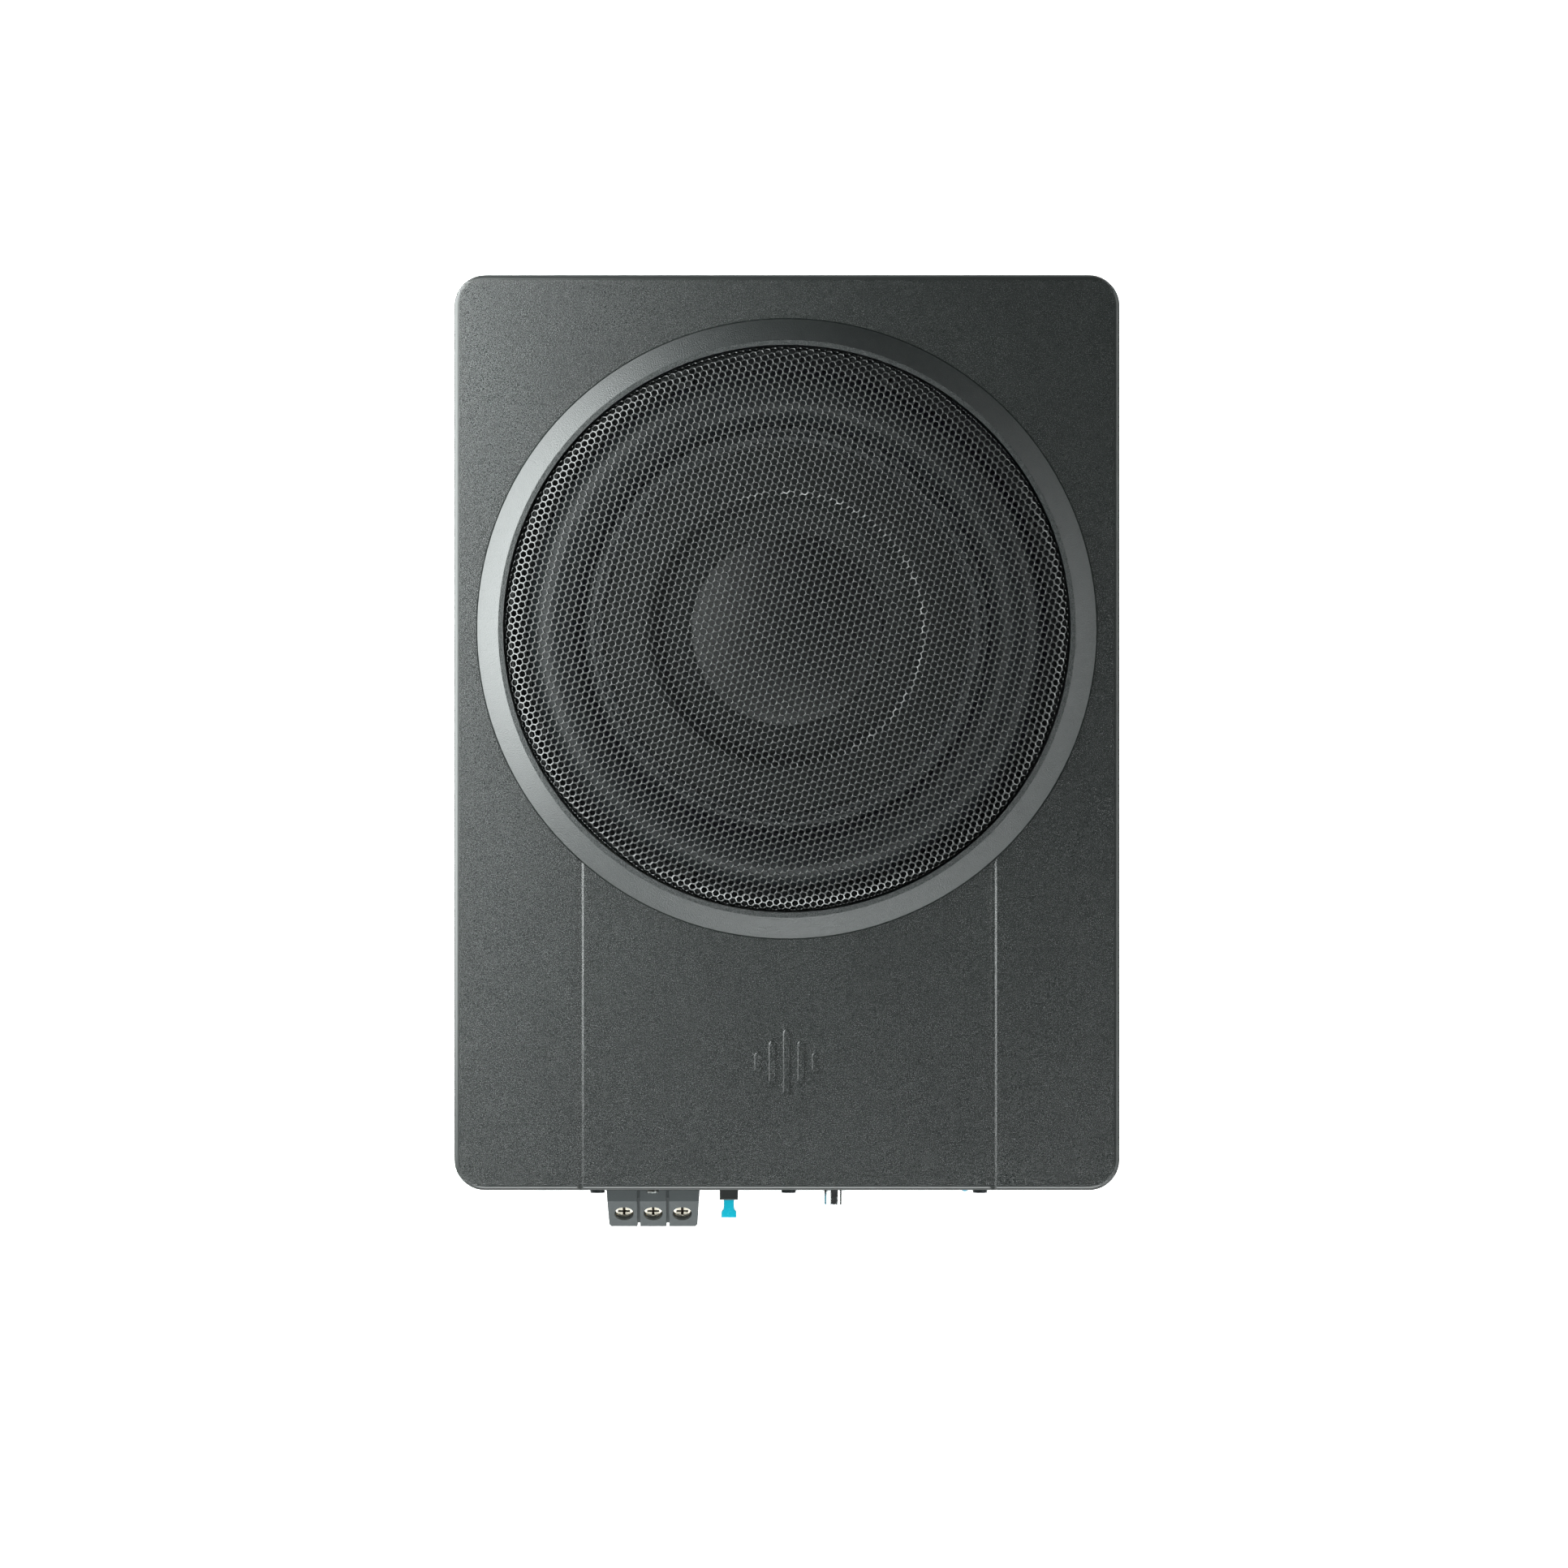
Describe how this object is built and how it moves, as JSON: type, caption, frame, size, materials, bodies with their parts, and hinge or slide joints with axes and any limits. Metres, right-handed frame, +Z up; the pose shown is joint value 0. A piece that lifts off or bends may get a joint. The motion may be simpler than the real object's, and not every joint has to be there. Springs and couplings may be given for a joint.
{
  "type": "powered car subwoofer",
  "caption": "Slim under-seat car subwoofer with a built-in amplifier, a perforated round grille and a panel of connectors.",
  "frame": {"origin": "Middle of the whole footprint, on the surface that the feet stand on.", "axes": "+X to the right seen from the connector end, +Y away from the connector panel along the length, +Z up out of the grille."},
  "size_m": [0.25, 0.359, 0.071],
  "materials": {
    "cast_base": "as-cast, satin",
    "feet_rubber": "matte",
    "cover_plastic": "fine leather grain",
    "ring_plastic": "smooth satin",
    "grille_steel": "semi-gloss black powder coat",
    "basket_steel": "black powder coat",
    "surround_rubber": "satin",
    "cone_paper": "coated black pulp",
    "former_film": "amber film",
    "copper_wire": "enamelled copper winding",
    "spider_cloth": "resin-dipped weave",
    "zinc_steel": "zinc plated",
    "ferrite": "sintered",
    "black_steel": "black oxide",
    "brass_parts": "plain",
    "panel_steel": "fine texture black paint",
    "block_plastic": "moulded grey nylon",
    "nickel": "nickel plated",
    "black_plastic": "moulded black nylon",
    "fuse_blue": "translucent light blue",
    "white_plastic": "moulded off-white",
    "led_lens": "water clear blue tint",
    "board_laminate": "green solder mask",
    "pot_body": "moulded blue-black",
    "can_sleeve": "printed sleeve",
    "red_wire": "insulated flexible lead",
    "tinned_braid": "tinned copper braid",
    "fibre_board": "paper laminate"
  },
  "bodies": {
    "root": {"base_tray": "cast_base", "rubber_feet": "feet_rubber", "cover_gasket": "feet_rubber", "top_cover": "cover_plastic", "threaded_inserts": "brass_parts", "base_screws": "black_steel", "grille_ring": "ring_plastic", "grille": "grille_steel", "woofer_basket": "basket_steel", "woofer_gasket": "surround_rubber", "woofer_screws": "zinc_steel", "surround": "surround_rubber", "spider": "spider_cloth", "top_plate": "zinc_steel", "magnet": "ferrite", "pole_yoke": "zinc_steel", "woofer_terminals": "fibre_board", "tinsel_leads": "tinned_braid", "speaker_leads": "red_wire", "connector_panel": "panel_steel", "panel_screws": "black_steel", "block_screw": "zinc_steel", "terminal_block": "block_plastic", "terminal_clamps": "brass_parts", "fuse_holder": "black_plastic", "fuse_clips": "brass_parts", "level_pot": "pot_body", "lowpass_pot": "pot_body", "phono_housing": "black_plastic", "phono_barrels": "nickel", "phono_insulators": "white_plastic", "high_level_socket": "white_plastic", "high_level_pins": "brass_parts", "remote_port": "black_plastic", "phase_switch": "zinc_steel", "auto_switch": "zinc_steel", "power_led": "led_lens", "amp_board": "board_laminate", "board_spacers": "brass_parts", "board_screws": "zinc_steel", "filter_capacitors": "can_sleeve", "power_inductor": "copper_wire", "transformer": "ferrite", "heat_spreader": "cast_base", "power_transistors": "black_plastic", "transistor_clamp": "zinc_steel"},
    "cone_assembly": {"cone": "cone_paper", "dust_cap": "cone_paper", "coil_former": "former_film", "voice_coil": "copper_wire"},
    "terminal_screw_a": {"terminal_screw_1": "nickel"},
    "terminal_screw_b": {"terminal_screw_2": "nickel"},
    "terminal_screw_c": {"terminal_screw_3": "nickel"},
    "fuse": {"fuse_body": "fuse_blue", "fuse_blades": "zinc_steel"},
    "level_control": {"level_knob": "black_plastic"},
    "lowpass_control": {"lowpass_knob": "black_plastic"},
    "phase_lever": {"phase_slider": "black_plastic"},
    "auto_lever": {"auto_slider": "black_plastic"}
  },
  "joints": [
    {"name": "cone_travel", "type": "slide", "parent": "root", "child": "cone_assembly", "axis": [0, 0, 1], "range_m": [-0.005, 0.005], "stiffness_N_per_m": 3000, "deforming": ["surround", "spider", "tinsel_leads"]},
    {"name": "terminal_1_turn", "type": "hinge", "parent": "root", "child": "terminal_screw_a", "pos_m": [-0.0616, -0.1745, 0.041], "axis": [0, -0.7071, 0.7071], "continuous": true},
    {"name": "terminal_2_turn", "type": "hinge", "parent": "root", "child": "terminal_screw_b", "pos_m": [-0.0506, -0.1745, 0.041], "axis": [0, -0.7071, 0.7071], "continuous": true},
    {"name": "terminal_3_turn", "type": "hinge", "parent": "root", "child": "terminal_screw_c", "pos_m": [-0.0396, -0.1745, 0.041], "axis": [0, -0.7071, 0.7071], "continuous": true},
    {"name": "fuse_pull", "type": "slide", "parent": "root", "child": "fuse", "axis": [0, -1, 0], "range_m": [0, 0.02]},
    {"name": "level_turn", "type": "hinge", "parent": "root", "child": "level_control", "pos_m": [-0.0096, -0.1645, 0.036], "axis": [0, -1, 0], "range_deg": [-140, 140]},
    {"name": "lowpass_turn", "type": "hinge", "parent": "root", "child": "lowpass_control", "pos_m": [0.0064, -0.1645, 0.036], "axis": [0, -1, 0], "range_deg": [-140, 140]},
    {"name": "phase_slide", "type": "slide", "parent": "root", "child": "phase_lever", "axis": [1, 0, 0], "range_m": [-0.00125, 0.00125]},
    {"name": "auto_slide", "type": "slide", "parent": "root", "child": "auto_lever", "axis": [1, 0, 0], "range_m": [-0.00125, 0.00125]}
  ]
}
